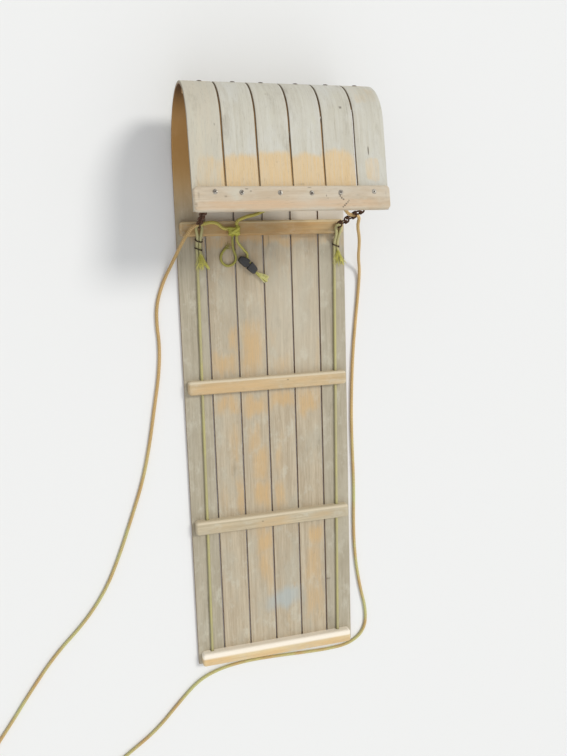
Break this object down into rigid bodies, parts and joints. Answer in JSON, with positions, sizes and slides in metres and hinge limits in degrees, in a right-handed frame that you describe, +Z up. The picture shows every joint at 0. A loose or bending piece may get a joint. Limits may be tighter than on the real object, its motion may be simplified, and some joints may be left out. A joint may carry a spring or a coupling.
{
  "type": "wooden toboggan",
  "caption": "Flat-bottomed wooden toboggan of bent slats under crossbars, with a curled nose held down by chains, side ropes and a tow rope.",
  "frame": {"origin": "middle of the toboggan in plan, on the floor under its running surface, measured without the free rope", "axes": "+Y towards the curled nose, +X to the rider's right, +Z up"},
  "size_m": [0.9754, 1.6825, 0.2868],
  "materials": {
    "slat_wood": "weathered",
    "crossbar_wood": "weathered",
    "batten_wood": "weathered",
    "rope": "braided",
    "dark_steel": "rusty",
    "black_plastic": "worn"
  },
  "bodies": {
    "root": {"slat_1": "slat_wood", "slat_2": "slat_wood", "slat_3": "slat_wood", "slat_4": "slat_wood", "slat_5": "slat_wood", "slat_6": "slat_wood", "crossbar_front": "crossbar_wood", "crossbar_second": "crossbar_wood", "crossbar_third": "crossbar_wood", "crossbar_tail": "crossbar_wood", "nose_batten": "batten_wood", "hood_bar": "crossbar_wood", "side_rope_left": "rope", "side_rope_right": "rope", "rope_clamps_left": "dark_steel", "rope_clamps_right": "dark_steel", "lip_eye_left": "dark_steel", "lip_eye_right": "dark_steel", "nose_chain_left": "dark_steel", "nose_chain_right": "dark_steel", "tow_rope": "rope", "join_knot": "rope", "tail_rope_loop": "rope", "tail_rope_lock": "rope", "tail_rope_end": "rope", "cord_lock": "black_plastic"}
  },
  "joints": []
}
